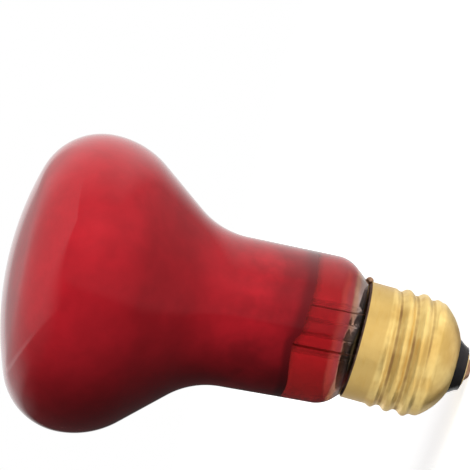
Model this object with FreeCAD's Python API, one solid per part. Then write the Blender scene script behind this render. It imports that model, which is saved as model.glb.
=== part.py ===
import FreeCAD, Part
import math
import os

# Infrared reflector lamp with a medium screw cap, in millimetres.
# The cap's axis is +Z and the origin is the outer end of the tip contact: cap down, face up.
# The glass was cemented in a little askew, so its axis leans off the cap's axis.

# Glass bulb
bulb_diameter = 63.5
glass_height = 75.3        # from the shell's rim to the middle of the face, along the glass axis
glass_wall = 0.7
face_radius = 68.0         # the face is a shallow dome
face_edge_radius = 14.1    # round edge between the face and the widest place
back_radius = 19.0         # round back below the widest place
cone_angle = 39.5          # slope of the reflector's cone against the glass axis, degrees
throat_radius = 17.0       # hollow curve from the cone into the neck
neck_overhang = 3.15       # the neck stands out beyond the cap's skirt by this
neck_taper = 0.3           # and widens by this on its way up
neck_end_height = 7.1      # where the neck starts to draw in, above the rim
neck_shoulder_radius = 6.6
neck_shoulder_angle = 42.0
seal_clearance = 2.4       # from the neck's drawn-in end to the inside of the skirt
seal_straight = 2.11       # straight part of that end
seal_throat_radius = 2.5
seal_edge_radius = 1.5

# How the glass sits in the cap
cap_lean_deg = 4.6
glass_offset = 0.8         # glass axis off the cap axis at the rim

# Stem inside the neck
flare_land = 0.2           # flat ring between the seal's round edge and the flare's curve
flare_wall = 0.8
flare_curve_radius = 2.2
press_blend_height = 4.5
press_spread = 1.0         # the press is this much wider than the tube
press_thickness = 4.2
press_height = 7.5
pocket_side_wall = 1.6     # glass left beside the flare's hollow where it ends under the press
pocket_face_wall = 1.0
exhaust_radius = 2.0
exhaust_bore_radius = 1.3
exhaust_tail = 5.5         # how far the tipped-off end reaches below the seal
blow_hole_radius = 0.7
arbor_radius = 1.1
arbor_height = 6.5
button_radius = 2.3
button_height = 2.4

# Wires
lead_inset = 1.5           # from the flare tube's outside to a lead's middle
lead_inner_radius = 0.4
lead_seal_radius = 0.25
lead_tip_radius = 0.3      # outer lead to the tip
lead_side_radius = 0.18    # outer lead to the shell, thin enough to pass beside the neck
lead_embed = 1.4           # how deep an inner or outer lead sits in the press
lead_bend_radius = 1.5
lead_knee_height = 3.2     # the inner leads spread this far above the press
lead_hook_height = 5.3     # and stand straight this far below the filament
side_lead_drop = 2.0       # the side lead turns this far below the seal
side_lead_clearance = 0.05
side_lead_bend = 0.5
side_lead_slant = 1.6      # it leaves the wall this far below the rim
side_lead_rise = 0.45      # and ends this far above it, in the solder bead
filament_height = 42.0     # above the rim, along the glass axis
filament_rise = 8.0        # above the button's foot
filament_ring_radius = 7.5
filament_coil_radius = 0.5
filament_gap_deg = 60.0    # opening of the horseshoe
clamp_radius = 0.85
clamp_length = 1.6
support_count = 4
support_radius = 0.16
support_rise = 1.2         # a support turns up this far above the button's middle
support_bend_radius = 0.64
loop_clearance = 0.05

# Screw cap
tip_height = 1.4           # contact and solder, below the insulator
insulator_height = 2.4     # insulator, below the shell
shell_length = 21.2
shell_wall = 0.3
skirt_radius = 12.6
skirt_length = 4.6
crown_step = 0.3           # the crown starts this far inside the skirt's radius
crown_corner_radius = 1.3
crown_start_angle = 36.0    # the crown's long arc, from its corner to the insulator, degrees
crown_end_angle = 68.0
crown_arc_radius = 13.5
sewing_gap = 0.001
same_point = 0.000001       # points closer than this are one
thread_crest_step = 0.45    # crests outside the skirt's radius
thread_root_step = 0.4      # roots inside it
thread_pitch = 3.63
thread_crest_height = 16.9  # a crest on the +X side, above the tip
thread_fade = 2.2           # run-in and run-out of the thread
thread_sections_per_pitch = 8
thread_points_per_turn = 24
insulator_neck_radius = 5.05
insulator_end_radius = 4.75
insulator_cone_height = 1.4
insulator_edge_radius = 0.35
insulator_inside = 2.6      # how far the insulator fills the crown
moulding_gap = 0.01         # between the shell and what is moulded into it
contact_radius = 3.6
contact_wall = 0.35
shank_radius = 1.3
shank_wall = 0.3
solder_radius = 2.5
solder_flat_radius = 1.5
solder_bulge = 0.15
solder_fill = 0.8           # how far the solder reaches into the shank
cement_depth = 4.4
cement_lip = 0.5            # the cement climbs this far up the neck above the rim
bead_radius = 0.85
bead_rise = 0.5

neck_end_radius = skirt_radius + neck_overhang
neck_top_radius = neck_end_radius + neck_taper
seal_radius = skirt_radius - shell_wall - seal_clearance
flare_tube_radius = seal_radius - seal_edge_radius - flare_land - flare_curve_radius
lead_spacing = 2 * (flare_tube_radius - lead_inset)
press_width = 2 * flare_tube_radius + press_spread
crown_radius = skirt_radius - crown_step
thread_crest_radius = skirt_radius + thread_crest_step
thread_root_radius = skirt_radius - thread_root_step
shell_base_height = tip_height + insulator_height
rim_height = shell_base_height + shell_length
thread_top = rim_height - skirt_length
crown_height = crown_corner_radius * math.sin(math.radians(crown_start_angle)) + crown_arc_radius * (
    math.sin(math.radians(crown_end_angle)) - math.sin(math.radians(crown_start_angle))
)
thread_bottom = shell_base_height + crown_height
narrowing = math.radians(neck_shoulder_angle)
shoulder_end_radius = neck_end_radius - neck_shoulder_radius * (1 - math.cos(narrowing))
shoulder_end_height = neck_end_height - neck_shoulder_radius * math.sin(narrowing)
seal_start_radius = seal_radius + seal_throat_radius * (1 - math.cos(narrowing))
narrowing_drop = (shoulder_end_radius - seal_start_radius) / math.tan(narrowing)
seal_throat_height = shoulder_end_height - narrowing_drop - seal_throat_radius * math.sin(narrowing)
seal_level = seal_throat_height - seal_straight - seal_edge_radius
press_top = filament_height - filament_rise - arbor_height
press_level = press_top - press_height
press_start = press_level - press_blend_height
insulator_top = shell_base_height + insulator_inside
glass_place = FreeCAD.Placement(
    FreeCAD.Vector(glass_offset, 0, rim_height),
    FreeCAD.Rotation(FreeCAD.Vector(0, 1, 0), -cap_lean_deg),
)


def at(radius, height):
    """A point of an outline, in the plane through the axis."""
    return FreeCAD.Vector(radius, 0, height)


def on_arc(centre, radius, angle):
    """The point of an arc at an angle in degrees, where 0 points outwards and 90 up."""
    turn = math.radians(angle)
    return centre + FreeCAD.Vector(radius * math.cos(turn), 0, radius * math.sin(turn))


def arc_edge(centre, radius, start, end):
    """An arc between two angles in degrees."""
    middle = on_arc(centre, radius, (start + end) / 2)
    return Part.Arc(on_arc(centre, radius, start), middle, on_arc(centre, radius, end)).toShape()


def bulged_edge(start, end, bulge):
    """An arc whose middle stands off the straight line by bulge, to the right of the way along it."""
    way = (end - start).normalize()
    middle = (start + end) * 0.5 + FreeCAD.Vector(way.z, 0, -way.x) * bulge
    return Part.Arc(start, middle, end).toShape()


def line_edge(start, end):
    """A straight edge."""
    return Part.makeLine(start, end)


def turned(edges):
    """A solid of revolution about Z, from edges that follow one another, closed by a straight line."""
    wire = Part.Wire(edges)
    if not wire.isClosed():
        ends = wire.OrderedVertexes
        wire = Part.Wire(edges + [line_edge(ends[-1].Point, ends[0].Point)])
    return Part.Face(wire).revolve(FreeCAD.Vector(0, 0, 0), FreeCAD.Vector(0, 0, 1), 360)


def largest(shape):
    """The main solid of a cut, without what it leaves beyond."""
    return max(shape.Solids, key=lambda solid: solid.Volume)


def on_glass(shape):
    """A copy of a shape of the glass's own frame, in its place in the cap."""
    return shape.transformed(glass_place.toMatrix(), True)


def in_glass_frame(shape):
    """A copy of a shape of the cap, as it stands in the glass's own frame."""
    return shape.transformed(glass_place.inverse().toMatrix(), True)


def glass_point(x, y, height):
    """A point of the glass's own frame, in its place in the cap."""
    return glass_place.multVec(FreeCAD.Vector(x, y, height))


# Outline of the glass, in its own frame: the axis is Z and the rim is at height 0
def glass_arcs():
    """The outline's arcs from the face to the seal: centre, radius, bulge, first and last angle.

    The bulge is 1 where the glass is round outwards and -1 where it is hollow. Neighbouring arcs
    share their tangent, so the inner surface has the same centres and angles."""
    widest = bulb_diameter / 2
    edge_centre_radius = widest - face_edge_radius
    face_centre = at(0, glass_height - face_radius)
    drop = math.sqrt((face_radius - face_edge_radius) ** 2 - edge_centre_radius ** 2)
    edge_centre = at(edge_centre_radius, face_centre.z + drop)
    edge_angle = math.degrees(math.atan2(drop, edge_centre_radius))
    back_centre = at(widest - back_radius, edge_centre.z)
    slope = math.radians(cone_angle)
    back_end = on_arc(back_centre, back_radius, -cone_angle)
    throat_start_radius = neck_top_radius + throat_radius * (1 - math.cos(slope))
    cone_drop = (back_end.x - throat_start_radius) / math.tan(slope)
    throat_centre = at(
        neck_top_radius + throat_radius,
        back_end.z - cone_drop - throat_radius * math.sin(slope),
    )
    shoulder_centre = at(neck_end_radius - neck_shoulder_radius, neck_end_height)
    seal_throat_centre = at(seal_radius + seal_throat_radius, seal_throat_height)
    seal_edge_centre = at(seal_radius - seal_edge_radius, seal_level + seal_edge_radius)
    return [
        (face_centre, face_radius, 1, 90, edge_angle),
        (edge_centre, face_edge_radius, 1, edge_angle, 0),
        (back_centre, back_radius, 1, 0, -cone_angle),
        (throat_centre, throat_radius, -1, 180 - cone_angle, 180),
        (shoulder_centre, neck_shoulder_radius, 1, 0, -neck_shoulder_angle),
        (seal_throat_centre, seal_throat_radius, -1, 180 - neck_shoulder_angle, 180),
        (seal_edge_centre, seal_edge_radius, 1, 0, -90),
    ]


def glass_outline(inset):
    """Edges of the outline from the axis at the face to the seal, moved inwards by inset."""
    edges = []
    last = None
    for centre, radius, bulge, start, end in glass_arcs():
        arc = arc_edge(centre, radius - bulge * inset, start, end)
        first = on_arc(centre, radius - bulge * inset, start)
        if last is not None and last.distanceToPoint(first) > same_point:
            edges.append(line_edge(last, first))
        edges.append(arc)
        last = on_arc(centre, radius - bulge * inset, end)
    return edges, last


def glass_body():
    """The glass's outer form as a full solid, for what fits round it."""
    edges, last = glass_outline(0)
    return turned(edges + [line_edge(last, at(0, last.z))])


def glass_envelope():
    """The blown glass: one thin wall from the face to the seal, where the stem is fused in."""
    outer, outer_end = glass_outline(0)
    inner, inner_end = glass_outline(glass_wall)
    return turned(outer + [line_edge(outer_end, inner_end)] + inner[::-1])


# Stem
def slot_wire(width, thickness, height):
    """A flat oval with round ends, wide along X."""
    half = (width - thickness) / 2
    end = thickness / 2
    left_up = FreeCAD.Vector(-half, end, height)
    left_down = FreeCAD.Vector(-half, -end, height)
    right_up = FreeCAD.Vector(half, end, height)
    right_down = FreeCAD.Vector(half, -end, height)
    return Part.Wire([
        line_edge(left_down, right_down),
        Part.Arc(right_down, FreeCAD.Vector(half + end, 0, height), right_up).toShape(),
        line_edge(right_up, left_up),
        Part.Arc(left_up, FreeCAD.Vector(-half - end, 0, height), left_down).toShape(),
    ])


def flattened(radius, width, thickness, start, end):
    """The blend of a round tube into a flat press. The round end is cut in four like the oval."""
    half = (width - thickness) / 2
    spread = math.atan2(thickness / 2, half)
    side = radius * math.cos(spread)
    rise = radius * math.sin(spread)
    corners = [
        FreeCAD.Vector(-side, -rise, start),
        FreeCAD.Vector(side, -rise, start),
        FreeCAD.Vector(side, rise, start),
        FreeCAD.Vector(-side, rise, start),
    ]
    middles = [
        FreeCAD.Vector(0, -radius, start),
        FreeCAD.Vector(radius, 0, start),
        FreeCAD.Vector(0, radius, start),
        FreeCAD.Vector(-radius, 0, start),
    ]
    edges = [
        Part.Arc(corners[i], middles[i], corners[(i + 1) % 4]).toShape() for i in range(4)
    ]
    return Part.makeLoft([Part.Wire(edges), slot_wire(width, thickness, end)], True, True)


def stem_flare(through_wires):
    """Flare tube, its fused rim and the flattened press, with its leads' holes."""
    rim_radius = seal_radius - seal_edge_radius
    curve_centre = at(flare_tube_radius + flare_curve_radius, seal_level + glass_wall + flare_curve_radius)
    lower_radius = flare_curve_radius + flare_wall
    inner_radius = flare_tube_radius - flare_wall
    edges = [
        line_edge(at(rim_radius, seal_level), at(rim_radius, seal_level + glass_wall)),
        line_edge(at(rim_radius, seal_level + glass_wall), on_arc(curve_centre, flare_curve_radius, -90)),
        arc_edge(curve_centre, flare_curve_radius, -90, -180),
        line_edge(on_arc(curve_centre, flare_curve_radius, -180), at(flare_tube_radius, press_start)),
        line_edge(at(flare_tube_radius, press_start), at(inner_radius, press_start)),
        line_edge(at(inner_radius, press_start), on_arc(curve_centre, lower_radius, 180)),
        arc_edge(curve_centre, lower_radius, 180, 270),
    ]
    flare = turned(edges)
    blend = flattened(flare_tube_radius, press_width, press_thickness, press_start, press_level)
    press = Part.Face(slot_wire(press_width, press_thickness, press_level)).extrude(
        FreeCAD.Vector(0, 0, press_height)
    )
    pocket_top = press_level - flare_wall
    pocket = flattened(
        inner_radius,
        press_width - 2 * pocket_side_wall,
        press_thickness - 2 * pocket_face_wall,
        press_start,
        pocket_top,
    )
    stem = flare.fuse([blend, press]).removeSplitter().cut(pocket)
    hole_start = FreeCAD.Vector(0, 0, pocket_top - flare_wall)
    hole = Part.makeCylinder(blow_hole_radius, press_height, hole_start, FreeCAD.Vector(0, 1, 1))
    stem = stem.cut(hole)
    for wire in through_wires:
        stem = stem.cut(wire)
    return stem


def exhaust_tube(stem):
    """Tube from the press to its tipped-off end below the seal."""
    tip_centre = at(0, seal_level - exhaust_tail + exhaust_radius)
    bore_centre = at(0, tip_centre.z + (exhaust_radius - exhaust_bore_radius) / 2)
    edges = [
        line_edge(at(exhaust_bore_radius, press_level), at(exhaust_radius, press_level)),
        line_edge(at(exhaust_radius, press_level), at(exhaust_radius, tip_centre.z)),
        arc_edge(tip_centre, exhaust_radius, 0, -90),
        line_edge(on_arc(tip_centre, exhaust_radius, -90), on_arc(bore_centre, exhaust_bore_radius, -90)),
        arc_edge(bore_centre, exhaust_bore_radius, -90, 0),
    ]
    return largest(turned(edges).cut(stem))


def arbor_rod():
    """Glass rod on the press, with the round button that holds the supports."""
    button_level = press_top + arbor_height
    button_curve = Part.Arc(
        at(arbor_radius, button_level),
        at(button_radius, button_level + button_height / 2),
        at(arbor_radius, button_level + button_height),
    ).toShape()
    edges = [
        line_edge(at(0, press_top), at(arbor_radius, press_top)),
        line_edge(at(arbor_radius, press_top), at(arbor_radius, button_level)),
        button_curve,
        line_edge(at(arbor_radius, button_level + button_height), at(0, button_level + button_height)),
    ]
    return turned(edges)


# Wires
def round_wire(points, radius, bend_radius):
    """A round wire along straight runs joined by tangent arcs."""
    edges = []
    last = points[0]
    for before, corner, after in zip(points, points[1:], points[2:]):
        to_before = (before - corner).normalize()
        to_after = (after - corner).normalize()
        half = to_before.getAngle(to_after) / 2
        reach = bend_radius / math.tan(half)
        middle_way = (to_before + to_after).normalize()
        arc_middle = corner + middle_way * (bend_radius / math.sin(half) - bend_radius)
        arc_start = corner + to_before * reach
        arc_end = corner + to_after * reach
        edges.append(line_edge(last, arc_start))
        edges.append(Part.Arc(arc_start, arc_middle, arc_end).toShape())
        last = arc_end
    edges.append(line_edge(last, points[-1]))
    section = Part.Wire(Part.makeCircle(radius, points[0], points[1] - points[0]))
    return Part.Wire(edges).makePipeShell([section], True, False)


def ring_point(angle, radius, height):
    """A point on a level ring about the glass axis, at an angle in degrees."""
    turn = math.radians(angle)
    return FreeCAD.Vector(radius * math.cos(turn), radius * math.sin(turn), height)


def ring_tangent(angle):
    """The direction along a level ring at an angle in degrees."""
    turn = math.radians(angle)
    return FreeCAD.Vector(-math.sin(turn), math.cos(turn), 0)


def filament_end(side):
    """Angle of the filament's end on a lead's side, in degrees."""
    return -90 + side * filament_gap_deg / 2


def filament_coil():
    """The coil's outer form, bent in a horseshoe. Its turns are too fine to be built."""
    start = filament_end(1)
    end = filament_end(-1) + 360
    path = Part.Arc(
        ring_point(start, filament_ring_radius, filament_height),
        ring_point((start + end) / 2, filament_ring_radius, filament_height),
        ring_point(end, filament_ring_radius, filament_height),
    ).toShape()
    section = Part.makeCircle(
        filament_coil_radius,
        ring_point(start, filament_ring_radius, filament_height),
        ring_tangent(start),
    )
    return Part.Wire(path).makePipeShell([Part.Wire(section)], True, False)


def lead_inner(side, filament):
    """Inner lead: up from the press, out to the filament's end and clamped round it."""
    angle = filament_end(side)
    end = ring_point(angle, filament_ring_radius, filament_height)
    tangent = ring_tangent(angle)
    clamp_start = end - tangent * (clamp_length / 2)
    clamp = Part.makeCylinder(clamp_radius, clamp_length, clamp_start, tangent)
    foot = FreeCAD.Vector(side * lead_spacing / 2, 0, press_top - lead_embed)
    knee = FreeCAD.Vector(side * lead_spacing / 2, 0, press_top + lead_knee_height)
    below = end - FreeCAD.Vector(0, 0, lead_hook_height)
    wire = round_wire([foot, knee, below, end], lead_inner_radius, lead_bend_radius)
    return largest(wire.fuse(clamp).cut(filament))


def support_angles():
    """Where the supports hold the filament, in even steps between its ends."""
    start = filament_end(1)
    span = filament_end(-1) + 360 - start
    return [start + span * (i + 1) / (support_count + 1) for i in range(support_count)]


def support_wire(angle, button):
    """Support: out of the button, up, and looped round the filament."""
    loop_radius = filament_coil_radius + loop_clearance + support_radius
    centre = ring_point(angle, filament_ring_radius, filament_height)
    loop = Part.makeTorus(loop_radius, support_radius, centre, ring_tangent(angle))
    button_middle = press_top + arbor_height + button_height / 2
    start = ring_point(angle, arbor_radius, button_middle)
    knee = ring_point(angle, filament_ring_radius, button_middle + support_rise)
    top = centre - FreeCAD.Vector(0, 0, loop_radius)
    wire = round_wire([start, knee, top], support_radius, support_bend_radius)
    return largest(wire.fuse(loop).cut(button))


def seal_wire(side):
    """Wire through the press between the inner and the outer lead."""
    foot = FreeCAD.Vector(side * lead_spacing / 2, 0, press_level + lead_embed)
    return Part.makeCylinder(lead_seal_radius, press_height - 2 * lead_embed, foot)


def lead_outer_side():
    """Outer lead of the shell: down the flare, round the seal, up beside the neck to the rim."""
    wall = thread_root_radius - shell_wall - side_lead_clearance - lead_side_radius
    mouth = skirt_radius - shell_wall - side_lead_clearance - lead_side_radius
    head = glass_point(lead_spacing / 2, 0, press_level + lead_embed)
    turn_point = glass_point(lead_spacing / 2, 0, seal_level - side_lead_drop)
    foot = at(wall, turn_point.z - side_lead_drop)
    slant = at(wall, rim_height - side_lead_slant)
    over = at(mouth, rim_height + lead_side_radius)
    end = at(skirt_radius + lead_side_radius, rim_height + side_lead_rise)
    route = [head, turn_point, foot, slant, over, end]
    return round_wire(route, lead_side_radius, side_lead_bend)


def lead_outer_tip():
    """Outer lead of the tip: down the flare, past the exhaust tube and into the contact."""
    head = glass_point(-lead_spacing / 2, 0, press_level + lead_embed)
    turn_point = glass_point(-lead_spacing / 2, 0, seal_level - exhaust_tail)
    above = at(0, insulator_top + lead_bend_radius)
    end = at(0, tip_height / 2)
    return round_wire([head, turn_point, above, end], lead_tip_radius, lead_bend_radius)


# Screw cap
def knuckle(height):
    """Radius of the rolled thread, where 0 is a crest: equal arcs for crest and root, tangent."""
    depth = thread_crest_radius - thread_root_radius
    arc = ((thread_pitch / 2) ** 2 + depth ** 2) / (4 * depth)
    away = abs((height + thread_pitch / 2) % thread_pitch - thread_pitch / 2)
    if away <= thread_pitch / 4:
        return thread_crest_radius - arc + math.sqrt(arc ** 2 - away ** 2)
    from_root = thread_pitch / 2 - away
    return thread_root_radius + arc - math.sqrt(arc ** 2 - from_root ** 2)


def thread_strength(height):
    """How far the thread is formed: 0 at the plain skirt and crown, 1 between its run-outs."""
    room = min(height - thread_bottom, thread_top - height) / thread_fade
    share = max(0.0, min(1.0, room))
    return share * share * (3 - 2 * share)


def shell_sections(inset):
    """The shell's level sections from the rim to the crown's end: height, plain radius.

    They follow one another at even steps along the outline, so that the surface stays smooth."""
    step = thread_pitch / thread_sections_per_pitch
    sections = []
    skirt_count = round(skirt_length / step)
    for i in range(skirt_count):
        sections.append((rim_height - skirt_length * i / skirt_count, skirt_radius - inset))
    stretch = thread_top - thread_bottom
    thread_count = round(stretch / step)
    for i in range(thread_count):
        share = i / thread_count
        plain = skirt_radius + (crown_radius - skirt_radius) * share
        sections.append((thread_top - stretch * share, plain - inset))
    for centre, radius, start, end in crown_arcs():
        count = round(math.radians(start - end) * radius / step)
        for i in range(count):
            place = on_arc(centre, radius - inset, start + (end - start) * i / count)
            sections.append((place.z, place.x))
    last = crown_end(inset)
    sections.append((last.z, last.x))
    return sections


def crown_arcs():
    """The crown's corner and its long arc: centre, radius, first and last angle."""
    corner_centre = at(crown_radius - crown_corner_radius, thread_bottom)
    corner_end = on_arc(corner_centre, crown_corner_radius, -crown_start_angle)
    long_centre = on_arc(corner_end, crown_arc_radius, 180 - crown_start_angle)
    return [
        (corner_centre, crown_corner_radius, 0, -crown_start_angle),
        (long_centre, crown_arc_radius, -crown_start_angle, -crown_end_angle),
    ]


def crown_end(inset):
    """The last point of the crown's outline, beside the insulator."""
    centre, radius, start, end = crown_arcs()[1]
    return on_arc(centre, radius - inset, end)


def section_wire(height, plain, inset):
    """A level section of the shell, as a smooth closed curve that carries the thread."""
    strength = thread_strength(height)
    points = []
    for i in range(thread_points_per_turn):
        turn = i / thread_points_per_turn
        wave = knuckle(height - thread_crest_height - thread_pitch * turn) - inset
        radius = plain + strength * (wave - plain)
        angle = 2 * math.pi * turn
        points.append(FreeCAD.Vector(radius * math.cos(angle), radius * math.sin(angle), height))
    turns = [i / thread_points_per_turn for i in range(thread_points_per_turn + 1)]
    curve = Part.BSplineCurve()
    curve.interpolate(Points=points, PeriodicFlag=True, Parameters=turns)
    return Part.Wire(curve.toShape())


def shell_side(inset):
    """One smooth surface through all level sections, for the shell's outside or inside."""
    wires = [section_wire(height, plain, inset) for height, plain in shell_sections(inset)]
    return Part.makeLoft(wires, False, False).Faces[0]


def screw_shell():
    """Thin brass shell in one sheet: plain skirt, rolled thread and drawn-in crown."""
    outside = shell_side(0)
    inside = shell_side(shell_wall)
    ends = []
    for level in (rim_height, crown_end(0).z):
        outer_edge = end_edge(outside, level)
        inner_edge = end_edge(inside, level)
        ends.append(Part.makeRuledSurface(outer_edge, inner_edge))
    faces = Part.makeCompound([outside, inside] + ends)
    faces.sewShape(sewing_gap)
    solid = Part.makeSolid(faces.Shells[0])
    if solid.Volume < 0:
        solid.reverse()
    return solid


def end_edge(face, level):
    """The face's closed edge nearest a height."""
    rings = [edge for edge in face.Edges if edge.isClosed()]
    return min(rings, key=lambda edge: abs(edge.CenterOfMass.z - level))


def cap_insulator():
    """Black glass plug: it fills the crown's end and stands out below it."""
    inset = shell_wall + moulding_gap
    neck = crown_end(inset)
    centre, radius, start, end = crown_arcs()[1]
    top_angle = math.degrees(math.asin((insulator_top - centre.z) / (radius - inset)))
    edge_centre = at(insulator_end_radius - insulator_edge_radius, tip_height + insulator_edge_radius)
    cone_base = at(insulator_neck_radius, shell_base_height - insulator_cone_height)
    inner_edge = on_arc(centre, radius - inset, top_angle)
    edges = [
        line_edge(at(shank_radius, tip_height), on_arc(edge_centre, insulator_edge_radius, -90)),
        arc_edge(edge_centre, insulator_edge_radius, -90, 0),
        line_edge(on_arc(edge_centre, insulator_edge_radius, 0), cone_base),
        line_edge(cone_base, at(neck.x, shell_base_height)),
        line_edge(at(neck.x, shell_base_height), neck),
        arc_edge(centre, radius - inset, end, top_angle),
        line_edge(inner_edge, at(shank_radius, insulator_top)),
    ]
    return turned(edges)


def tip_contact():
    """Brass eyelet: a flange on the insulator's end and a shank through it."""
    bore = shank_radius - shank_wall
    flange_centre = at(contact_radius - contact_wall / 2, tip_height - contact_wall / 2)
    edges = [
        line_edge(at(bore, insulator_top), at(bore, tip_height - contact_wall)),
        line_edge(at(bore, tip_height - contact_wall), on_arc(flange_centre, contact_wall / 2, -90)),
        arc_edge(flange_centre, contact_wall / 2, -90, 90),
        line_edge(on_arc(flange_centre, contact_wall / 2, 90), at(shank_radius, tip_height)),
        line_edge(at(shank_radius, tip_height), at(shank_radius, insulator_top)),
    ]
    return turned(edges)


def tip_solder(lead):
    """Solder mound that closes the eyelet, pressed flat at its end."""
    bore = shank_radius - shank_wall
    base = tip_height - contact_wall
    edges = [
        line_edge(at(0, 0), at(solder_flat_radius, 0)),
        bulged_edge(at(solder_flat_radius, 0), at(solder_radius, base), solder_bulge),
        line_edge(at(solder_radius, base), at(bore, base)),
        line_edge(at(bore, base), at(bore, tip_height + solder_fill)),
        line_edge(at(bore, tip_height + solder_fill), at(0, tip_height + solder_fill)),
    ]
    return turned(edges).cut(lead)


def basing_cement(glass, lead):
    """Cement between the neck and the plain skirt, with a small fillet above the rim."""
    outer = skirt_radius - shell_wall - moulding_gap
    within = seal_radius - seal_edge_radius
    edges = [
        line_edge(at(within, rim_height - cement_depth), at(outer, rim_height - cement_depth)),
        line_edge(at(outer, rim_height - cement_depth), at(outer, rim_height)),
        line_edge(at(outer, rim_height), at(outer - cement_lip, rim_height + cement_lip)),
        line_edge(at(outer - cement_lip, rim_height + cement_lip), at(within, rim_height + cement_lip)),
    ]
    return largest(turned(edges).cut(glass).cut(lead))


def side_solder(others):
    """Solder bead that joins the side lead to the rim. It rests on the skirt's plain round form."""
    bead = Part.makeSphere(bead_radius, at(skirt_radius, rim_height + bead_rise))
    skirt_foot = at(0, rim_height + moulding_gap - skirt_length)
    skirt = Part.makeCylinder(skirt_radius + moulding_gap, skirt_length, skirt_foot)
    for other in [skirt, *others]:
        bead = bead.cut(other)
    return largest(bead)


def lamp_pieces():
    """Every piece of the lamp by name, each in its place."""
    filament = filament_coil()
    leads = {side: lead_inner(side, filament) for side in (1, -1)}
    seals = {side: seal_wire(side) for side in (1, -1)}
    side_lead = lead_outer_side()
    tip_lead = lead_outer_tip()
    outer_leads = [in_glass_frame(side_lead), in_glass_frame(tip_lead)]
    stem = stem_flare([*leads.values(), *seals.values(), *outer_leads])
    arbor = arbor_rod()
    pieces = {
        "glass_envelope": on_glass(glass_envelope()),
        "stem_flare": on_glass(stem),
        "exhaust_tube": on_glass(exhaust_tube(stem)),
        "arbor_rod": on_glass(arbor),
        "lead_inner_side": on_glass(leads[1]),
        "lead_inner_tip": on_glass(leads[-1]),
        "seal_wire_side": on_glass(seals[1]),
        "seal_wire_tip": on_glass(seals[-1]),
        "lead_outer_side": side_lead,
        "lead_outer_tip": tip_lead,
        "filament_coil": on_glass(filament),
    }
    for number, angle in enumerate(support_angles(), 1):
        pieces[f"support_wire_{number}"] = on_glass(support_wire(angle, arbor))
    full_glass = on_glass(glass_body())
    shell = screw_shell()
    cement = basing_cement(full_glass, side_lead)
    pieces["basing_cement"] = cement
    pieces["screw_shell"] = shell
    pieces["cap_insulator"] = cap_insulator()
    pieces["tip_contact"] = tip_contact()
    pieces["tip_solder"] = tip_solder(tip_lead)
    pieces["side_solder"] = side_solder([full_glass, cement, side_lead])
    return pieces


os.makedirs("parts", exist_ok=True)
for name, shape in lamp_pieces().items():
    shape.exportStep(f"parts/{name}.step")
    print(name, shape.isValid(), len(shape.Solids), round(shape.Volume, 3))
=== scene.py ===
"""Looks of a red infrared reflector lamp with a screw cap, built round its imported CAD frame."""

import logging
import math
from dataclasses import dataclass
from enum import Enum
from functools import partial, reduce
from typing import Any

import bpy
import numpy as np
from mathutils import Euler, Matrix, Vector


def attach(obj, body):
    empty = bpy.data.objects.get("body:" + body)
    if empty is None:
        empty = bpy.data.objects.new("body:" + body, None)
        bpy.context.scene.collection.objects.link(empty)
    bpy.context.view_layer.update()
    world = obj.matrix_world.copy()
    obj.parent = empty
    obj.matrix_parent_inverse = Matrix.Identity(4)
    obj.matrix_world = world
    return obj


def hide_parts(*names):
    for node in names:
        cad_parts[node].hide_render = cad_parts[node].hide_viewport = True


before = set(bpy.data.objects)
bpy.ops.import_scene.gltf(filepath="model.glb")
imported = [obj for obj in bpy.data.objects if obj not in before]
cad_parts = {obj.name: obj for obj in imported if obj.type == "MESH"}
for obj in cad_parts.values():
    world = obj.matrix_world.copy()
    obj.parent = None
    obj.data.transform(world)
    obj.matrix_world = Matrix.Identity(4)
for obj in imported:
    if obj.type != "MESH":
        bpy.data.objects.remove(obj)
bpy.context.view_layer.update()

log = logging.getLogger("lamp")

Colour = tuple[float, float, float, float]
Place = tuple[float, float, float]
Span = tuple[float, float]
Socket = bpy.types.NodeSocket

# Metres in a millimetre and millimetres in a metre
MM = 0.001
PER_MM = 1000.0

# The one body that every piece rides on
BODY = "root"

# How the glass stands in the cap: off its axis, leaned, and with its own zero at the cap's rim
GLASS_OFFSET = 0.8
GLASS_LEAN = math.radians(-4.6)
RIM_HEIGHT = 25.0
NECK_RADIUS = 15.75

# Where the silvering and the full red coat end in the neck, and how far that edge slants down towards +X
FILM_END = 12.5
FILM_TILT = 1.05

# The mesh attribute that holds a point's height over that edge, from before the edge is slanted and waved
FILM_HEIGHT = "film_height"

# A ring of a smaller radius than this is a point on the axis
ON_AXIS = 1e-9

# How deep a bump goes between a height of 0 and one of 1, in metres, on most finishes and on bare metal
BUMP_DEPTH = 0.0002
GRAIN_DEPTH = 0.00005


# Shapes on numpy grids
@dataclass(frozen=True)
class Arc:
    """One arc of an outline in the plane of radius and height, in millimetres and degrees.

    Its bulge is 1 where its centre lies on the inner side of the wall, and -1 where it lies outside.
    """

    centre: Span
    radius: float
    start: float
    end: float
    bulge: int = 1

    def points(self, inset: float, count: int) -> np.ndarray:
        """Points along the arc, each the centre plus the radius turned to its angle.

        Args:
            inset: How far the outline is moved into the wall.
            count: Number of points.

        Returns:
            Array of radius and height, count by 2.
        """
        turn = np.radians(np.linspace(self.start, self.end, count))
        reach = self.radius - self.bulge * inset
        across = self.centre[0] + reach * np.cos(turn)
        height = self.centre[1] + reach * np.sin(turn)
        return np.stack([across, height], axis=1)


def smooth(value: np.ndarray, low: float, high: float) -> np.ndarray:
    """Smooth step: 0 up to low, 1 from high, t t (3 - 2 t) between, where t is the share of the way."""
    share = np.clip((value - low) / (high - low), 0.0, 1.0)
    return share * share * (3 - 2 * share)


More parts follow.
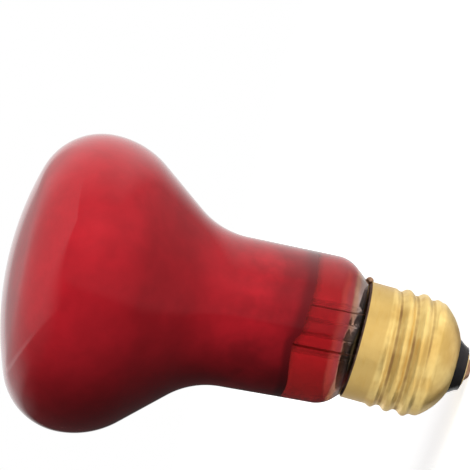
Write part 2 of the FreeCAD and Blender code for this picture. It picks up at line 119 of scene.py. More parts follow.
def ring_quads(rings: int, around: int) -> np.ndarray:
    """Faces of a grid of rings: corner c of ring r, the same of ring r + 1, and their neighbours at c + 1.

    Args:
        rings: Number of rings, each closed on itself.
        around: Number of points in a ring.

    Returns:
        Array of corner numbers, four to a face.
    """
    row, column = np.meshgrid(np.arange(rings - 1), np.arange(around), indexing="ij")
    beside = (column + 1) % around
    this_ring, next_ring = row * around, (row + 1) * around
    corners = [this_ring + column, next_ring + column, next_ring + beside, this_ring + beside]
    return np.stack(corners, axis=-1).reshape(-1, 4)


def lathe(outline: np.ndarray, around: int) -> tuple[np.ndarray, list[list[int]], np.ndarray]:
    """Turns an outline about Z: x = r cos a, y = r sin a, z = h on a grid of outline and angle.

    Args:
        outline: Radius and height of each ring. A first or last radius of zero closes there in a pole.
        around: Number of steps round the axis.

    Returns:
        The points, the faces and the outline step that each face belongs to.
    """
    angle = np.linspace(0.0, 2 * np.pi, around, endpoint=False)
    first_pole = outline[0, 0] < ON_AXIS
    last_pole = outline[-1, 0] < ON_AXIS
    body = outline[int(first_pole) : len(outline) - int(last_pole)]
    across, height = body[:, :1], np.repeat(body[:, 1:], around, axis=1)
    points = np.stack([across * np.cos(angle), across * np.sin(angle), height], axis=-1).reshape(-1, 3)
    rings = len(body)
    faces: list[list[int]] = ring_quads(rings, around).tolist()
    steps = np.repeat(np.arange(rings - 1) + int(first_pole), around)
    ring = np.arange(around)
    after = (ring + 1) % around
    if first_pole:
        pole = np.full(around, len(points))
        points = np.vstack([points, [[0.0, 0.0, outline[0, 1]]]])
        faces += np.stack([pole, ring, after], axis=1).tolist()
        steps = np.concatenate([steps, np.zeros(around, dtype=int)])
    if last_pole:
        pole = np.full(around, len(points))
        points = np.vstack([points, [[0.0, 0.0, outline[-1, 1]]]])
        base = (rings - 1) * around
        faces += np.stack([pole, base + after, base + ring], axis=1).tolist()
        steps = np.concatenate([steps, np.full(around, rings - 1 + int(first_pole))])
    return points, faces, steps


def tube(path: np.ndarray, radius: float, sides: int) -> tuple[np.ndarray, list[list[int]]]:
    """Carries a circle along a path: centre + r (cos a · side + sin a · up), with frames square to it.

    Args:
        path: Points of the path, n by 3.
        radius: Radius of the wire.
        sides: Number of sides of the circle.

    Returns:
        The points and the faces, with a closed cap at each end.
    """
    ahead = np.gradient(path, axis=0)
    ahead /= np.linalg.norm(ahead, axis=1, keepdims=True)
    side = np.cross(ahead, np.array([0.0, 0.0, 1.0]))
    side /= np.linalg.norm(side, axis=1, keepdims=True)
    up = np.cross(side, ahead)
    turn = np.linspace(0.0, 2 * np.pi, sides, endpoint=False)[None, :, None]
    circle = np.cos(turn) * side[:, None, :] + np.sin(turn) * up[:, None, :]
    points = (path[:, None, :] + radius * circle).reshape(-1, 3)
    outwards = ring_quads(len(path), sides)[:, [0, 3, 2, 1]]
    last = (len(path) - 1) * sides
    ends = [list(range(sides))[::-1], list(range(last, last + sides))]
    return points, outwards.tolist() + ends


def place_of_glass() -> Matrix:
    """The glass's own frame in the row frame: the neck's rim, leaned a little off the cap's axis."""
    lean = Euler((0.0, GLASS_LEAN, 0.0)).to_matrix().to_4x4()
    return Matrix.Translation(Vector((GLASS_OFFSET, 0.0, RIM_HEIGHT)) * MM) @ lean


def new_piece(name: str, points: np.ndarray, faces: list[list[int]], place: Matrix) -> bpy.types.Object:
    """Makes a smooth mesh object at the origin, with its place in its mesh, riding on the one body.

    Args:
        name: The piece's name.
        points: Points in millimetres.
        faces: Corner numbers of each face.
        place: Where the points' own frame stands in the row frame.

    Returns:
        The new object.
    """
    mesh = bpy.data.meshes.new(name)
    mesh.from_pydata((points * MM).tolist(), [], faces)
    mesh.transform(place)
    mesh.polygons.foreach_set("use_smooth", np.ones(len(faces), dtype=bool))
    mesh.update()
    piece = bpy.data.objects.new(name, mesh)
    bpy.context.scene.collection.objects.link(piece)
    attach(piece, BODY)
    return piece


# Node trees
class Tree:
    """A node tree with short calls for adding, linking and sums."""

    def __init__(self, tree: bpy.types.NodeTree) -> None:
        """Keeps the tree that the calls work on."""
        self.tree = tree

    def add(self, kind: str, inputs: dict[Any, Any] | None = None, **values: Any) -> bpy.types.Node:
        """Adds a node, sets its properties and feeds its inputs.

        Args:
            kind: The node's type name.
            inputs: Sockets, numbers or colours by the input's name or number.
            **values: Properties by name.

        Returns:
            The new node.
        """
        node = self.tree.nodes.new(kind)
        for name, value in values.items():
            setattr(node, name, value)
        for name, source in (inputs or {}).items():
            self.join(source, node.inputs[name])
        return node

    def join(self, source: Any, target: Socket) -> None:
        """Links a socket to a target, or sets the target where the source is a plain value.

        Args:
            source: Socket, number or colour.
            target: The input that takes it.
        """
        if isinstance(source, Socket):
            self.tree.links.new(source, target)
        else:
            target.default_value = source

    def math(self, operation: str, first: Any, second: Any = 0.0, clamp: bool = False) -> Socket:
        """A Math node's result, kept from 0 to 1 where it is clamped."""
        inputs = {0: first, 1: second}
        return self.add("ShaderNodeMath", inputs, operation=operation, use_clamp=clamp).outputs[0]

    def plus(self, first: Any, *others: Any) -> Socket:
        """The sum of sockets and numbers, added in order."""
        return reduce(partial(self.math, "ADD"), others, first)

    def times(self, first: Any, *others: Any) -> Socket:
        """The product of sockets and numbers, multiplied in order."""
        return reduce(partial(self.math, "MULTIPLY"), others, first)

    def minus(self, first: Any, second: Any) -> Socket:
        """The first value less the second."""
        return self.math("SUBTRACT", first, second)

    def most(self, first: Any, second: Any) -> Socket:
        """The larger of two values."""
        return self.math("MAXIMUM", first, second)

    def step(self, value: Any, low: Any, high: Any) -> Socket:
        """A soft step of a value, from 0 at low to 1 at high, where low may be the larger."""
        inputs = {0: value, 1: low, 2: high}
        return self.add("ShaderNodeMapRange", inputs, interpolation_type="SMOOTHSTEP").outputs[0]

    def mix(self, share: Any, first: Any, second: Any) -> Socket:
        """A colour between two colours, which are inputs 6 and 7, by the second one's share."""
        return self.add("ShaderNodeMix", {0: share, 6: first, 7: second}, data_type="RGBA").outputs[2]

    def noise(self, place: Any, scale: float, detail: float, roughness: float) -> Socket:
        """Noise of a place, with scale waves to its unit and finer layers by detail and roughness."""
        inputs = {"Vector": place, "Scale": scale, "Detail": detail, "Roughness": roughness}
        return self.add("ShaderNodeTexNoise", inputs).outputs[0]

    def object_place(self) -> Socket:
        """The object coordinates."""
        return self.add("ShaderNodeTexCoord").outputs["Object"]

    def axes(self, place: Any) -> tuple[Socket, Socket, Socket]:
        """The parts of a place or a direction along X, Y and Z."""
        parts = self.add("ShaderNodeSeparateXYZ", {0: place})
        return parts.outputs["X"], parts.outputs["Y"], parts.outputs["Z"]

    def wave_place(self, waves: Any) -> Socket:
        """Object coordinates counted in waves, of which there are so many to a millimetre."""
        inputs = {0: self.object_place(), "Scale": self.times(waves, PER_MM)}
        return self.add("ShaderNodeVectorMath", inputs, operation="SCALE").outputs[0]


# Effects that several finishes share
class Effect(Enum):
    """Names of the shared node groups."""

    ZONE = "glass_zone"
    MOTTLE = "mottle"
    SCUFFS = "scuffs"


def new_group(
    effect: Effect, inputs: dict[str, tuple[str, Any]], outputs: dict[str, str]
) -> tuple[Tree, Any, Any]:
    """Makes an empty shader node group.

    Args:
        effect: The effect that it is for.
        inputs: Socket type and first value by name.
        outputs: Socket type by name.

    Returns:
        The group's tree and its input and output nodes.
    """
    group = bpy.data.node_groups.new(effect.value, "ShaderNodeTree")
    for label, (kind, value) in inputs.items():
        group.interface.new_socket(label, in_out="INPUT", socket_type=kind).default_value = value
    for label, kind in outputs.items():
        group.interface.new_socket(label, in_out="OUTPUT", socket_type=kind)
    tree = Tree(group)
    return tree, tree.add("NodeGroupInput"), tree.add("NodeGroupOutput")


def glass_zone_group() -> None:
    """Mask of a zone along the glass axis: 0 below Low and 1 above High, in millimetres.

    Its edge is uneven and slants down towards +X by Tilt. Across is the place from -X to +X in neck radii.
    """
    tree, given, result = new_group(
        Effect.ZONE,
        {
            "Low": ("NodeSocketFloat", 0.0),
            "High": ("NodeSocketFloat", 1.0),
            "Tilt": ("NodeSocketFloat", 0.6),
            "Unevenness": ("NodeSocketFloat", 0.5),
        },
        {"Mask": "NodeSocketFloat", "Across": "NodeSocketFloat"},
    )
    glass_frame = {
        "Vector": tree.object_place(),
        "Location": (GLASS_OFFSET * MM, 0.0, RIM_HEIGHT * MM),
        "Rotation": (0.0, GLASS_LEAN, 0.0),
        "Scale": (MM, MM, MM),
    }
    place = tree.add("ShaderNodeMapping", glass_frame, vector_type="TEXTURE").outputs[0]
    side, _, height = tree.axes(place)
    noise_middle = 0.5
    wave = tree.minus(tree.noise(place, scale=0.09, detail=2.0, roughness=0.4), noise_middle)
    across = tree.math("DIVIDE", side, NECK_RADIUS)
    slanted = tree.plus(height, tree.times(across, given.outputs["Tilt"]))
    level = tree.plus(slanted, tree.times(wave, given.outputs["Unevenness"]))
    tree.join(tree.step(level, given.outputs["Low"], given.outputs["High"]), result.inputs["Mask"])
    tree.join(across, result.inputs["Across"])


def mottle_group() -> None:
    """Soft cloudy change of a colour towards another, whose share is Share where the cloud is full.

    The cloud is noise of the place with Waves to a millimetre.
    """
    tree, given, result = new_group(
        Effect.MOTTLE,
        {
            "Colour": ("NodeSocketColor", (0.5, 0.5, 0.5, 1.0)),
            "Other": ("NodeSocketColor", (0.4, 0.4, 0.4, 1.0)),
            "Waves": ("NodeSocketFloat", 0.1),
            "Share": ("NodeSocketFloat", 0.5),
        },
        {"Colour": "NodeSocketColor", "Mask": "NodeSocketFloat"},
    )
    place = tree.wave_place(given.outputs["Waves"])
    cloud = tree.step(tree.noise(place, scale=1.0, detail=3.0, roughness=0.55), low=0.32, high=0.68)
    share = tree.times(cloud, given.outputs["Share"])
    tree.join(tree.mix(share, given.outputs["Colour"], given.outputs["Other"]), result.inputs["Colour"])
    tree.join(cloud, result.inputs["Mask"])


def scuff_group() -> None:
    """Fine rubbing marks: noise stretched along one way and thinned to streaks, and a fine grain."""
    tree, given, result = new_group(
        Effect.SCUFFS,
        {
            "Waves": ("NodeSocketFloat", 1.0),
            "Stretch": ("NodeSocketVector", (1.0, 1.0, 6.0)),
            "Amount": ("NodeSocketFloat", 0.5),
        },
        {"Streaks": "NodeSocketFloat", "Grain": "NodeSocketFloat"},
    )
    place = tree.wave_place(given.outputs["Waves"])
    stretch = {0: place, 1: given.outputs["Stretch"]}
    stretched = tree.add("ShaderNodeVectorMath", stretch, operation="MULTIPLY")
    rubbed = tree.noise(stretched.outputs[0], scale=1.0, detail=4.0, roughness=0.6)
    streaks = tree.step(rubbed, low=0.5, high=0.75)
    tree.join(tree.times(streaks, given.outputs["Amount"]), result.inputs["Streaks"])
    tree.join(tree.noise(place, scale=4.0, detail=3.0, roughness=0.6), result.inputs["Grain"])


def make_effects() -> None:
    """Builds every shared node group once."""
    for make in (glass_zone_group, mottle_group, scuff_group):
        make()


# Finishes
class Surface(Enum):
    """Names of the finished materials, which differ from those of the frame's own plain ones."""

    RUBY = "ruby_coat"
    NECK = "neck_glass"
    CLEAR = "clear_glass"
    SILVERING = "silvering"
    BRASS = "cap_brass"
    EYELET = "eyelet_brass"
    BLACK = "insulator_glass"
    CEMENT = "brown_cement"
    NICKEL = "nickel_lead"
    COPPER = "copper_lead"
    TUNGSTEN = "tungsten_wire"
    BEAD = "solder_bead"

    def get(self) -> bpy.types.Material:
        """The material of this name."""
        return bpy.data.materials[self.value]


class Finish:
    """A material with its own shader, which the finishes fill in."""

    def __init__(self, surface: Surface) -> None:
        """Makes an empty material.

        Args:
            surface: Which surface it is for.
        """
        name = surface.value
        assert name not in bpy.data.materials, f"the frame already has a material {name}"
        material = bpy.data.materials.new(name)
        material.use_nodes = True
        self.tree = Tree(material.node_tree)
        self.shader = material.node_tree.nodes["Principled BSDF"]

    def plain(self, **values: Any) -> None:
        """Sets plain values on the shader's own sockets, with underscores for spaces in their names."""
        for name, value in values.items():
            self.shader.inputs[name.replace("_", " ")].default_value = value

    def drive(self, name: str, source: Any) -> None:
        """Links a socket to one of the shader's inputs."""
        self.tree.join(source, self.shader.inputs[name])

    def roughen(self, mask: Any, more: float, least: float) -> None:
        """Drives the roughness: least where the mask is 0, and more on top of it where the mask is 1."""
        self.drive("Roughness", self.tree.plus(self.tree.times(mask, more), least))

    def emboss(self, height: Any, strength: float, depth: float = BUMP_DEPTH) -> None:
        """Drives the normal by a height, with a strength from 0 to 1 and a depth in metres."""
        inputs = {"Height": height, "Strength": strength, "Distance": depth}
        self.drive("Normal", self.tree.add("ShaderNodeBump", inputs).outputs[0])

    def attribute(self, name: str) -> Socket:
        """Reads a number that the piece's mesh holds at each point."""
        return self.tree.add("ShaderNodeAttribute", attribute_name=name).outputs["Fac"]

    def effect(self, effect: Effect, **values: Any) -> bpy.types.Node:
        """Places a shared effect with its own values, as sockets or plain ones by the input's name."""
        return self.tree.add("ShaderNodeGroup", values, node_tree=bpy.data.node_groups[effect.value])

    def zone(self, low: float, high: float, tilt: float, unevenness: float) -> bpy.types.Node:
        """Places the mask of a zone along the glass axis."""
        return self.effect(Effect.ZONE, Low=low, High=high, Tilt=tilt, Unevenness=unevenness)

    def mottle(self, colour: Any, other: Any, waves: float, share: float) -> bpy.types.Node:
        """Places the cloudy change of a colour towards another."""
        return self.effect(Effect.MOTTLE, Colour=colour, Other=other, Waves=waves, Share=share)

    def scuffs(self, waves: float, amount: float = 1.0) -> bpy.types.Node:
        """Places the rubbing marks and their grain."""
        return self.effect(Effect.SCUFFS, Waves=waves, Amount=amount)


@dataclass(frozen=True)
class RubyCoat:
    """Red coat over the silvered glass: deep red, glossy, blotched in the neck, dark where silvering ends.

    It darkens slowly over the fade's length and again in a narrow band above the edge itself. Heights are in
    millimetres, those of the blotches from the cap's rim and those of the band from the edge.
    """

    red: Colour = (0.60, 0.0155, 0.027, 1.0)
    dark: Colour = (0.44, 0.011, 0.019, 1.0)
    edge: Colour = (0.18, 0.007, 0.011, 1.0)
    film_end: float = FILM_END
    fade_length: float = 9.5
    fade_share: float = 0.4
    band: Span = (3.2, 0.8)
    band_share: float = 0.6
    blotches_end: Span = (22.0, 34.0)
    smooth_roughness: float = 0.27
    grain_roughness: float = 0.1

    def make(self) -> None:
        """Builds the material."""
        finish = Finish(Surface.RUBY)
        tree = finish.tree
        finish.plain(Metallic=0.2, Specular_IOR_Level=0.0)
        finish.plain(Coat_Weight=1.0, Coat_Roughness=0.03, Coat_IOR=1.5)
        broad = finish.mottle(self.red, self.dark, waves=0.05, share=0.6)
        cloud = finish.mottle(broad.outputs["Colour"], self.edge, waves=0.22, share=0.16)
        blotch = finish.mottle(cloud.outputs["Colour"], self.edge, waves=0.15, share=0.55)
        bulb = finish.zone(*self.blotches_end, tilt=0.6, unevenness=4.0)
        coat = tree.mix(bulb.outputs["Mask"], blotch.outputs["Colour"], cloud.outputs["Colour"])
        fade_end = self.film_end + self.fade_length
        zone = finish.zone(self.film_end, fade_end, tilt=FILM_TILT, unevenness=2.5)
        fade = tree.minus(1.0, zone.outputs["Mask"])
        band = tree.step(finish.attribute(FILM_HEIGHT), *self.band)
        shaded = tree.plus(tree.times(fade, self.fade_share), tree.times(band, self.band_share))
        finish.drive("Base Color", tree.mix(shaded, coat, self.edge))
        scuffs = finish.scuffs(waves=0.25)
        finish.roughen(scuffs.outputs["Grain"], self.grain_roughness, self.smooth_roughness)
        finish.emboss(cloud.outputs["Mask"], strength=0.12)


@dataclass(frozen=True)
class NeckGlass:
    """Outside of the neck below the silvering: see-through red that fades out to smoky clear glass.

    The dipped coat's red is darkened towards -X as painted shade on the side away from the light, and just
    below the silvering as a painted shadow. It ends in an amber fringe. Heights are in millimetres, those of
    the shadow from the silvering's edge.
    """

    red: Colour = (0.34, 0.008, 0.011, 1.0)
    # dark red of the painted shade towards -X and of the painted shadow below the silvering
    shade_red: Colour = (0.09, 0.006, 0.005, 1.0)
    clear: Colour = (0.38, 0.28, 0.25, 1.0)
    brown: Colour = (0.20, 0.14, 0.12, 1.0)
    amber: Colour = (0.52, 0.20, 0.08, 1.0)
    coat_end: float = 1.7
    fade: float = 2.3
    shade_side: Span = (-0.1, -1.0)
    shade_side_share: float = 0.85
    shadow: Span = (-1.9, 0.1)
    shadow_share: float = 0.9
    fringe_share: float = 2.8
    grain_roughness: float = 0.06

    def make(self) -> None:
        """Builds the material."""
        finish = Finish(Surface.NECK)
        tree = finish.tree
        finish.plain(Transmission_Weight=1.0, IOR=1.5)
        zone = finish.zone(self.coat_end, self.coat_end + self.fade, tilt=0.3, unevenness=3.0)
        coated = zone.outputs["Mask"]
        cloud = finish.mottle(self.clear, self.brown, waves=0.4, share=0.7)
        # painted shade: the red darkens towards -X, the side away from the light
        shaded_side = tree.times(tree.step(zone.outputs["Across"], *self.shade_side), self.shade_side_share)
        # painted shadow: the red darkens just below the silvering's edge
        shadow = tree.times(tree.step(finish.attribute(FILM_HEIGHT), *self.shadow), self.shadow_share)
        coat = tree.mix(tree.most(shaded_side, shadow), self.red, self.shade_red)
        faded = tree.mix(coated, cloud.outputs["Colour"], coat)
        fringe = tree.times(coated, tree.minus(1.0, coated), self.fringe_share)
        finish.drive("Base Color", tree.mix(fringe, faded, self.amber))
        scuffs = finish.scuffs(waves=0.3)
        finish.drive("Roughness", tree.times(scuffs.outputs["Grain"], self.grain_roughness))


@dataclass(frozen=True)
class ClearGlass:
    """Clear glass of the wall's inner side, the stem, the exhaust tube and the arbor, with a faint haze."""

    tint: Colour = (0.96, 0.97, 0.97, 1.0)
    haze: Colour = (0.88, 0.88, 0.90, 1.0)
    haze_roughness: float = 0.05

    def make(self) -> None:
        """Builds the material."""
        finish = Finish(Surface.CLEAR)
        finish.plain(Transmission_Weight=1.0, IOR=1.5)
        cloud = finish.mottle(self.tint, self.haze, waves=0.15, share=0.6)
        finish.drive("Base Color", cloud.outputs["Colour"])
        finish.drive("Roughness", finish.tree.times(cloud.outputs["Mask"], self.haze_roughness))


@dataclass(frozen=True)
class Metal:
    """Bare metal with soft patches, rubbing marks and a fine grain."""

    surface: Surface
    colour: Colour
    other: Colour
    roughness: float
    waves: float = 0.3
    share: float = 0.6
    bump: float = 0.15
    rubbed_roughness: float = 0.15
    marks_to_a_patch: int = 4

    def make(self) -> None:
        """Builds the material."""
        finish = Finish(self.surface)
        finish.plain(Metallic=1.0)
        cloud = finish.mottle(self.colour, self.other, self.waves, self.share)
        scuffs = finish.scuffs(self.waves * self.marks_to_a_patch)
        finish.drive("Base Color", cloud.outputs["Colour"])
        finish.roughen(scuffs.outputs["Streaks"], self.rubbed_roughness, self.roughness)
        finish.emboss(scuffs.outputs["Grain"], self.bump, GRAIN_DEPTH)


@dataclass(frozen=True)
class CapBrass:
    """Rolled sheet brass of the screw shell: satin gold, a skirt darkened as painted shade, dull spots and
    dark roots.

    A root is where the radius is less than that of the groove, and there the colour is darker. The thread
    runs from its foot up to its top, beyond which nothing is darkened. These sizes are in millimetres.
    """

    gold: Colour = (0.93, 0.685, 0.255, 1.0)
    # darker gold of the plain skirt above the thread, painted shade
    skirt: Colour = (0.60, 0.39, 0.12, 1.0)
    dull: Colour = (0.62, 0.37, 0.09, 1.0)
    root: Colour = (0.22, 0.11, 0.04, 1.0)
    groove: Span = (12.2, 12.28)
    thread_top: Span = (20.0, 20.6)
    thread_foot: Span = (10.2, 9.6)
    skirt_shade_share: float = 0.8
    least_root_dark: float = 0.3
    cloud_root_dark: float = 0.6
    satin_roughness: float = 0.36
    rubbed_roughness: float = 0.12
    root_roughness: float = 0.2
    grain_height: float = 0.12

    def make(self) -> None:
        """Builds the material."""
        finish = Finish(Surface.BRASS)
        tree = finish.tree
        finish.plain(Metallic=0.85)
        cloud = finish.mottle(self.gold, self.dull, waves=0.12, share=0.8)
        above, root_dark = self.thread_masks(tree)
        scuffs = finish.scuffs(waves=0.6)
        rolled = finish.scuffs(waves=0.22, amount=0.45)
        broken = tree.plus(tree.times(cloud.outputs["Mask"], self.cloud_root_dark), self.least_root_dark)
        # painted shade: the skirt above the thread is darkened towards its own colour
        shaded_ground = tree.mix(tree.times(above, self.skirt_shade_share), cloud.outputs["Colour"], self.skirt)
        marked = tree.mix(rolled.outputs["Streaks"], shaded_ground, self.dull)
        # darker in the thread's roots, by the root mask broken up by the cloud
        finish.drive("Base Color", tree.mix(tree.times(root_dark, broken), marked, self.root))
        rubbed = tree.times(scuffs.outputs["Streaks"], self.rubbed_roughness)
        rough_roots = tree.times(root_dark, self.root_roughness)
        finish.drive("Roughness", tree.plus(rubbed, self.satin_roughness, rough_roots))
        grain = tree.times(scuffs.outputs["Grain"], self.grain_height)
        finish.emboss(tree.plus(cloud.outputs["Mask"], grain), strength=0.5)

    def thread_masks(self, tree: Tree) -> tuple[Socket, Socket]:
        """Masks of the place on the shell, from its height and its radius, the root of x x + y y.

        Args:
            tree: The material's node tree.

        Returns:
            The mask of the skirt above the thread and that of the thread's roots.
        """
        side, ahead, height = tree.axes(tree.object_place())
        squares = [tree.math("POWER", part, 2.0) for part in (side, ahead)]
        raised = tree.step(tree.math("SQRT", tree.plus(*squares)), *self.metres(self.groove))
        above = tree.step(height, *self.metres(self.thread_top))
        below = tree.step(height, *self.metres(self.thread_foot))
        return above, tree.minus(1.0, tree.most(raised, tree.most(above, below)))

    @staticmethod
    def metres(span: Span) -> Span:
        """A span of millimetres in metres."""
        return span[0] * MM, span[1] * MM


@dataclass(frozen=True)
class BlackGlass:
    """Moulded black glass of the insulator, glossy, clouded a little towards brown."""

    black: Colour = (0.030, 0.031, 0.036, 1.0)
    brown: Colour = (0.042, 0.034, 0.032, 1.0)
    smooth_roughness: float = 0.12
    grain_roughness: float = 0.15

    def make(self) -> None:
        """Builds the material."""
        finish = Finish(Surface.BLACK)
        finish.plain(Specular_IOR_Level=0.5, IOR=1.5)
        cloud = finish.mottle(self.black, self.brown, waves=0.25, share=0.7)
        scuffs = finish.scuffs(waves=0.5)
        finish.drive("Base Color", cloud.outputs["Colour"])
        finish.roughen(scuffs.outputs["Grain"], self.grain_roughness, self.smooth_roughness)
        finish.emboss(cloud.outputs["Mask"], strength=0.3)


@dataclass(frozen=True)
class BrownCement:
    """Basing cement, baked brown and gritty."""

    brown: Colour = (0.075, 0.035, 0.025, 1.0)
    grey: Colour = (0.16, 0.11, 0.09, 1.0)
    least_roughness: float = 0.7
    cloud_roughness: float = 0.2

    def make(self) -> None:
        """Builds the material."""
        finish = Finish(Surface.CEMENT)
        cloud = finish.mottle(self.brown, self.grey, waves=1.4, share=0.8)
        scuffs = finish.scuffs(waves=2.0)
        finish.drive("Base Color", cloud.outputs["Colour"])
        finish.roughen(cloud.outputs["Mask"], self.cloud_roughness, self.least_roughness)
        finish.emboss(scuffs.outputs["Grain"], strength=0.8)


def metals() -> list[Metal]:
    """The bare metals: each one's colours, roughness and patch waves, and the bead's share and bump."""
    return [
        Metal(Surface.SILVERING, (0.86, 0.86, 0.87, 1.0), (0.74, 0.73, 0.72, 1.0), 0.12, 0.1),
        Metal(Surface.EYELET, (0.78, 0.58, 0.28, 1.0), (0.62, 0.42, 0.17, 1.0), 0.3, 0.5),
        Metal(Surface.NICKEL, (0.60, 0.57, 0.53, 1.0), (0.45, 0.42, 0.39, 1.0), 0.28, 1.0),
        Metal(Surface.COPPER, (0.70, 0.34, 0.20, 1.0), (0.42, 0.18, 0.10, 1.0), 0.35, 1.0),
        Metal(Surface.TUNGSTEN, (0.34, 0.34, 0.36, 1.0), (0.24, 0.24, 0.26, 1.0), 0.35, 2.0),
        Metal(Surface.BEAD, (0.50, 0.29, 0.18, 1.0), (0.26, 0.14, 0.085, 1.0), 0.4, 0.9, 0.7, 0.5),
    ]


def make_finishes() -> None:
    """Builds every material once."""
    coats_and_glass = (RubyCoat(), NeckGlass(), ClearGlass(), BlackGlass())
    for finish in (*coats_and_glass, CapBrass(), BrownCement(), *metals()):
        finish.make()


def dress(surface: Surface, *nodes: str) -> list[str]:
    """Gives CAD nodes their material.

    Args:
        surface: Their finish.
        *nodes: The nodes' names.

    Returns:
        A line for the log on each node.
    """
    for node in nodes:
        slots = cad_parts[node].data.materials
        slots.clear()
        slots.append(surface.get())
    return [f"dressed {node} in {surface.value}" for node in nodes]


# The lamp's sub-assemblies
@dataclass(frozen=True)
class Bulb:
    """The blown glass: one closed wall whose outside is coated red and whose inside is silvered.

    Sizes are in millimetres and degrees, in the glass's own frame, where the axis is Z and the cap's rim is
    at 0. Face, edge, back, throat, shoulder, seal_throat and seal_edge are radii of arcs, and cone and lean
    are the slopes of the straight lines between. Widest, neck_top, neck and seal are radii from the axis.
    Widest is a hair less than in the source, to stay inside the CAD mesh's faceted round.
    """

    widest: float = 31.735
    height: float = 75.3
    face: float = 68.0
    edge: float = 14.1
    back: float = 19.0
    cone: float = 39.5
    throat: float = 17.0
    neck_top: float = 16.05
    neck: float = NECK_RADIUS
    neck_end: float = 7.1
    shoulder: float = 6.6
    lean: float = 42.0
    seal: float = 9.9
    depth: float = 6.5
    seal_throat: float = 2.5
    seal_edge: float = 1.5
    wall: float = 0.7
    film_end: float = FILM_END
    film_tilt: float = FILM_TILT
    film_wave: float = 0.28
    film_waves: int = 5
    film_jog: float = 1.45
    film_jog_start: Span = (-93.0, -104.0)
    film_jog_end: Span = (-152.0, -112.0)
    film_slide: float = 5.5
    around: int = 192
    wide_arc: float = 10.0
    wide_arc_points: int = 24
    tight_arc_points: int = 12
    run_step: float = 0.8
    fewest_run_points: int = 3
    touching: float = 0.01

    def arcs(self) -> list[Arc]:
        """Works out the outline's arcs from the driving sizes.

        The rim's arc touches the face's from inside, so their centres stand face less edge apart. The cone is
        the straight line that touches the back's arc and the throat's, and the line under the shoulder
        touches the shoulder's arc and the seal's.

        Returns:
            The arcs from the face down to the seal.
        """
        drop = math.sqrt((self.face - self.edge) ** 2 - (self.widest - self.edge) ** 2)
        middle = self.height - self.face + drop
        face_end = math.degrees(math.atan2(drop, self.widest - self.edge))
        turn = math.radians(self.cone)
        cone_top = (
            self.widest - self.back + self.back * math.cos(turn),
            middle - self.back * math.sin(turn),
        )
        cone_foot = self.neck_top + self.throat * (1 - math.cos(turn))
        cone_drop = (cone_top[0] - cone_foot) / math.tan(turn)
        throat_height = cone_top[1] - cone_drop - self.throat * math.sin(turn)
        bend = math.radians(self.lean)
        shoulder_end = (
            self.neck - self.shoulder + self.shoulder * math.cos(bend),
            self.neck_end - self.shoulder * math.sin(bend),
        )
        seal_start = self.seal + self.seal_throat * (1 - math.cos(bend))
        seal_drop = (shoulder_end[0] - seal_start) / math.tan(bend)
        seal_height = shoulder_end[1] - seal_drop - self.seal_throat * math.sin(bend)
        return [
            Arc((0.0, self.height - self.face), self.face, 90.0, face_end),
            Arc((self.widest - self.edge, middle), self.edge, face_end, 0.0),
            Arc((self.widest - self.back, middle), self.back, 0.0, -self.cone),
            Arc((self.neck_top + self.throat, throat_height), self.throat, 180 - self.cone, 180.0, -1),
            Arc((self.neck - self.shoulder, self.neck_end), self.shoulder, 0.0, -self.lean),
            Arc((self.seal + self.seal_throat, seal_height), self.seal_throat, 180 - self.lean, 180.0, -1),
            Arc((self.seal - self.seal_edge, -self.depth + self.seal_edge), self.seal_edge, 0.0, -90.0),
        ]

    def outline(self, inset: float) -> np.ndarray:
        """The outline from the face to the seal: its arcs in order, with even steps on the runs between.

        Args:
            inset: How far it is moved into the wall.

        Returns:
            Radius and height of each ring.
        """
        runs = [
            arc.points(inset, self.wide_arc_points if arc.radius > self.wide_arc else self.tight_arc_points)
            for arc in self.arcs()
        ]
        joined = [runs[0]]
        for before, after in zip(runs, runs[1:]):
            gap = float(np.linalg.norm(after[0] - before[-1]))
            if gap > self.touching:
                count = max(self.fewest_run_points, int(gap / self.run_step))
                share = np.linspace(0.0, 1.0, count)[1:, None]
                joined.append(before[-1] + (after[0] - before[-1]) * share)
            joined.append(after[1:])
        outline = np.vstack(joined)
        outline[0, 0] = 0.0
        return outline

    def build(self) -> list[str]:
        """Builds the glass in place of its CAD node and gives each zone its finish.

        The silvering ends a little lower on +X, its edge waves, and on the -Y side it steps up for a while.
        So the rings near it slide along the straight neck by tilt cos a + wave sin 5a - jog s(a), where s is
        a smooth rise times a smooth fall, and the slide falls smoothly to nothing at film_slide from it. An
        attribute keeps each point's height over the edge from before the slide, so that a finish can follow
        the edge.

        Returns:
            A line for the log.
        """
        outer = self.outline(0.0)
        inner = self.outline(self.wall)
        outline = np.vstack([outer, inner[::-1]])
        points, faces, steps = lathe(outline, self.around)
        film_height = points[:, 2] - self.film_end
        reach = np.clip(1 - np.abs(film_height) / self.film_slide, 0.0, 1.0)
        turn = np.arctan2(points[:, 1], points[:, 0])
        degrees = np.degrees(turn)
        stepped = smooth(degrees, *self.film_jog_start) * smooth(degrees, *self.film_jog_end)
        waved = self.film_tilt * np.cos(turn) + self.film_wave * np.sin(self.film_waves * turn)
        points[:, 2] -= (waved - self.film_jog * stepped) * smooth(reach, 0.0, 1.0)
        piece = new_piece("bulb_glass", points, faces, place_of_glass())
        marks = piece.data.attributes.new(FILM_HEIGHT, "FLOAT", "POINT")
        marks.data.foreach_set("value", film_height.astype(np.float32))
        zones = (Surface.RUBY, Surface.NECK, Surface.CLEAR, Surface.SILVERING)
        for surface in zones:
            piece.data.materials.append(surface.get())
        coated, bare, clear, silvered = range(len(zones))
        heights = (outline[:-1, 1] + outline[1:, 1]) / 2
        above = heights > self.film_end
        outside = np.arange(len(heights)) < len(outer)
        slots = np.where(outside, np.where(above, coated, bare), np.where(above, silvered, clear))
        piece.data.polygons.foreach_set("material_index", slots[steps].astype(np.int32))
        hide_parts("glass_envelope")
        return [f"built {piece.name} with {len(faces)} faces"]


